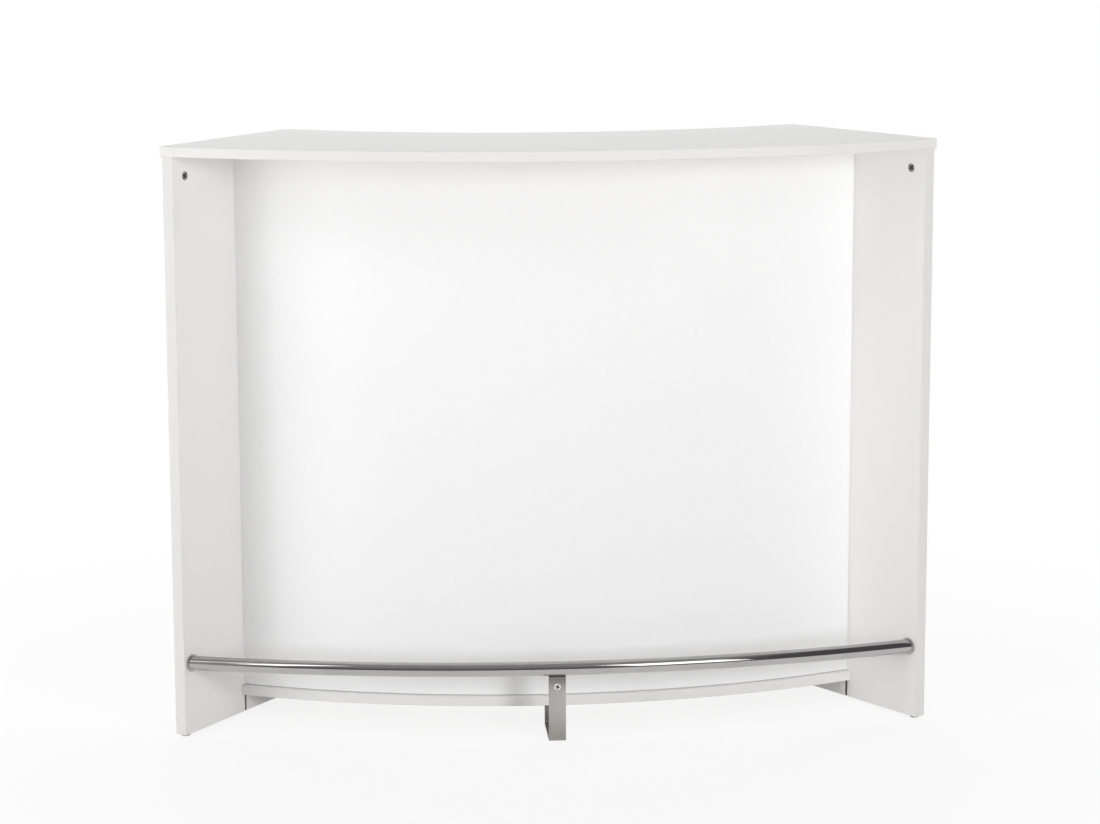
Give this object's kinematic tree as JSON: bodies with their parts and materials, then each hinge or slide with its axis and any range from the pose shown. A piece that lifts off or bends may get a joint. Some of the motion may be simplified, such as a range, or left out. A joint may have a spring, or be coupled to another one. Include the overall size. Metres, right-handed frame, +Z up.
{
  "type": "bar counter with shelves",
  "caption": "Curved white bar counter: crescent top on splayed side panels, bent front panel, chrome foot rail on a floor strap, and open rear bays with adjustable lift-off shelves.",
  "frame": {"origin": "on the floor, under the middle of the counter's width and depth", "axes": "+Z up, +X along the counter to the right as a guest sees it, +Y from the guest's side to the shelves"},
  "size_m": [1.348, 0.449, 1.048],
  "materials": {
    "melamine": "white melamine, fine satin grain",
    "edge_band": "white satin edge band",
    "front_laminate": "white satin-gloss laminate",
    "chrome": "bright chrome",
    "satin_steel": "satin grey steel",
    "dark_zinc": "dark zinc alloy",
    "zinc": "bright zinc plate",
    "grey_plastic": "grey plastic"
  },
  "bodies": {
    "carcass": {"counter_top": "melamine", "bottom_board": "melamine", "centre_divider": "melamine", "counter_top_front_band": "edge_band", "counter_top_rear_band": "edge_band", "bottom_board_front_band": "edge_band", "curved_front_panel": "front_laminate", "foot_rail_tube": "chrome", "rail_support_strap": "satin_steel", "rail_support_tab": "satin_steel", "rail_support_screw": "zinc", "rail_support_nut": "zinc", "left_side_panel": "melamine", "left_side_front_band": "edge_band", "left_rail_flange": "chrome", "left_strap_board_screw": "zinc", "left_front_glide": "grey_plastic", "left_front_top_cam": "dark_zinc", "left_front_top_cam_bolt": "zinc", "left_front_bottom_cam": "dark_zinc", "left_front_bottom_cam_bolt": "zinc", "left_rear_glide": "grey_plastic", "left_rear_top_cam": "dark_zinc", "left_rear_top_cam_bolt": "zinc", "left_rear_bottom_cam": "dark_zinc", "left_rear_bottom_cam_bolt": "zinc", "left_lower_front_side_pin": "zinc", "left_lower_front_divider_pin": "zinc", "left_lower_rear_side_pin": "zinc", "left_lower_rear_divider_pin": "zinc", "left_upper_front_side_pin": "zinc", "left_upper_front_divider_pin": "zinc", "left_upper_rear_side_pin": "zinc", "left_upper_rear_divider_pin": "zinc", "right_side_panel": "melamine", "right_side_front_band": "edge_band", "right_rail_flange": "chrome", "right_strap_board_screw": "zinc", "right_front_glide": "grey_plastic", "right_front_top_cam": "dark_zinc", "right_front_top_cam_bolt": "zinc", "right_front_bottom_cam": "dark_zinc", "right_front_bottom_cam_bolt": "zinc", "right_rear_glide": "grey_plastic", "right_rear_top_cam": "dark_zinc", "right_rear_top_cam_bolt": "zinc", "right_rear_bottom_cam": "dark_zinc", "right_rear_bottom_cam_bolt": "zinc", "right_lower_front_side_pin": "zinc", "right_lower_front_divider_pin": "zinc", "right_lower_rear_side_pin": "zinc", "right_lower_rear_divider_pin": "zinc", "right_upper_front_side_pin": "zinc", "right_upper_front_divider_pin": "zinc", "right_upper_rear_side_pin": "zinc", "right_upper_rear_divider_pin": "zinc"},
    "left_lower_shelf": {"left_lower_shelf": "melamine"},
    "left_upper_shelf": {"left_upper_shelf": "melamine"},
    "right_lower_shelf": {"right_lower_shelf": "melamine"},
    "right_upper_shelf": {"right_upper_shelf": "melamine"}
  },
  "joints": [
    {"name": "left_lower_shelf_lift", "type": "slide", "parent": "carcass", "child": "left_lower_shelf", "axis": [0, 0, 1], "range_m": [0, 0.032]},
    {"name": "left_upper_shelf_lift", "type": "slide", "parent": "carcass", "child": "left_upper_shelf", "axis": [0, 0, 1], "range_m": [0, 0.032]},
    {"name": "right_lower_shelf_lift", "type": "slide", "parent": "carcass", "child": "right_lower_shelf", "axis": [0, 0, 1], "range_m": [0, 0.032]},
    {"name": "right_upper_shelf_lift", "type": "slide", "parent": "carcass", "child": "right_upper_shelf", "axis": [0, 0, 1], "range_m": [0, 0.032]}
  ]
}
